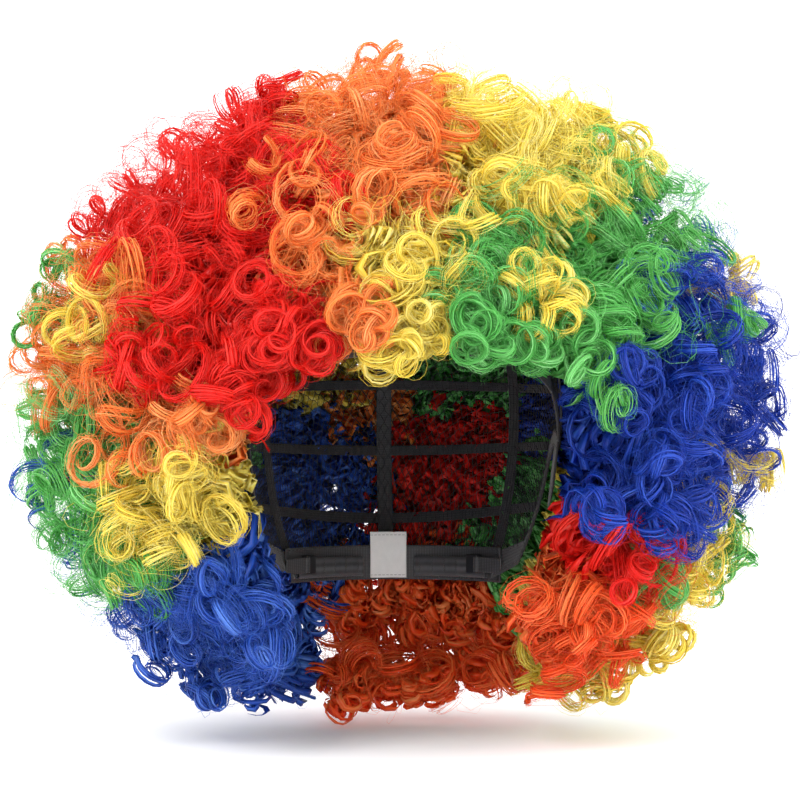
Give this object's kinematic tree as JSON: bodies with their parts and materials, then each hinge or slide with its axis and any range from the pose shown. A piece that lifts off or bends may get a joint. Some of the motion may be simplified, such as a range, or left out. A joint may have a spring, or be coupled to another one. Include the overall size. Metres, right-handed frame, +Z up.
{
  "type": "costume wig",
  "caption": "Rounded curly wig in rainbow colours, with hair sections sewn to a stretch cap and hooked elastic straps that tighten it at the nape.",
  "frame": {"origin": "centre of the head opening, level with the middle of the ears, on the wig's mid plane", "axes": "+Z up to the crown, the face opening looks along -Y, +X towards the wearer's left"},
  "size_m": [0.388, 0.319, 0.3424],
  "materials": {
    "hair_red": "glossy curled synthetic fibre",
    "hair_orange": "glossy curled synthetic fibre",
    "hair_yellow": "glossy curled synthetic fibre",
    "hair_green": "glossy curled synthetic fibre",
    "hair_blue": "glossy curled synthetic fibre",
    "cap_net": "open knitted net",
    "cap_band": "folded woven tape",
    "cap_rib": "woven elastic",
    "weft": "machine-sewn tape",
    "elastic": "ribbed elastic",
    "loop_tape": "woven tape",
    "label": "plain satin label",
    "hook": "moulded plastic"
  },
  "bodies": {
    "root": {"hair_front_blue_right": "hair_blue", "hair_front_yellow_right": "hair_yellow", "hair_front_orange_right": "hair_orange", "hair_front_red_right": "hair_red", "hair_front_orange_top": "hair_orange", "hair_front_yellow_top": "hair_yellow", "hair_front_green_left": "hair_green", "hair_front_blue_left": "hair_blue", "hair_front_red_left": "hair_red", "hair_front_orange_left": "hair_orange", "hair_crown_blue_right": "hair_blue", "hair_crown_green_right": "hair_green", "hair_crown_orange_right": "hair_orange", "hair_crown_red_top": "hair_red", "hair_crown_orange_top": "hair_orange", "hair_crown_yellow_top": "hair_yellow", "hair_crown_green_top": "hair_green", "hair_crown_blue_left": "hair_blue", "hair_crown_yellow_left": "hair_yellow", "hair_back_blue_right": "hair_blue", "hair_back_green_right": "hair_green", "hair_back_red_top": "hair_red", "hair_back_orange_top": "hair_orange", "hair_back_yellow_top": "hair_yellow", "hair_back_blue_left": "hair_blue", "hair_back_green_left": "hair_green", "hair_back_orange_low": "hair_orange", "hair_nape_yellow_right": "hair_yellow", "hair_nape_green_left": "hair_green", "hair_nape_red_left": "hair_red", "hair_nape_blue_right": "hair_blue", "hair_back_centre": "hair_orange", "crown_net": "cap_net", "front_band": "cap_band", "side_band_left": "cap_band", "side_band_right": "cap_band", "nape_band": "elastic", "ear_tab_left": "cap_band", "ear_tab_right": "cap_band", "care_label": "label", "rib_front": "cap_rib", "rib_front_left": "cap_rib", "rib_front_right": "cap_rib", "rib_side_left": "cap_rib", "rib_side_right": "cap_rib", "rib_back_left": "cap_rib", "rib_back_right": "cap_rib", "rib_back": "cap_rib", "weft_tape_1": "weft", "weft_tape_2": "weft", "weft_tape_3": "weft", "weft_tape_4": "weft", "weft_tape_5": "weft", "weft_tape_6": "weft", "loop_tape_left": "loop_tape", "loop_tape_right": "loop_tape", "adjuster_strap_left": "elastic", "adjuster_strap_right": "elastic"},
    "left_hook": {"adjuster_hook_left": "hook"},
    "right_hook": {"adjuster_hook_right": "hook"}
  },
  "joints": [
    {"name": "left_hook_slide", "type": "hinge", "parent": "root", "child": "left_hook", "pos_m": [0, 0.01, -0.039], "axis": [0, 0, 1], "range_deg": [0, 27], "deforming": ["adjuster_strap_left"]},
    {"name": "right_hook_slide", "type": "hinge", "parent": "root", "child": "right_hook", "pos_m": [0, 0.01, -0.039], "axis": [0, 0, -1], "range_deg": [0, 27], "deforming": ["adjuster_strap_right"]}
  ]
}
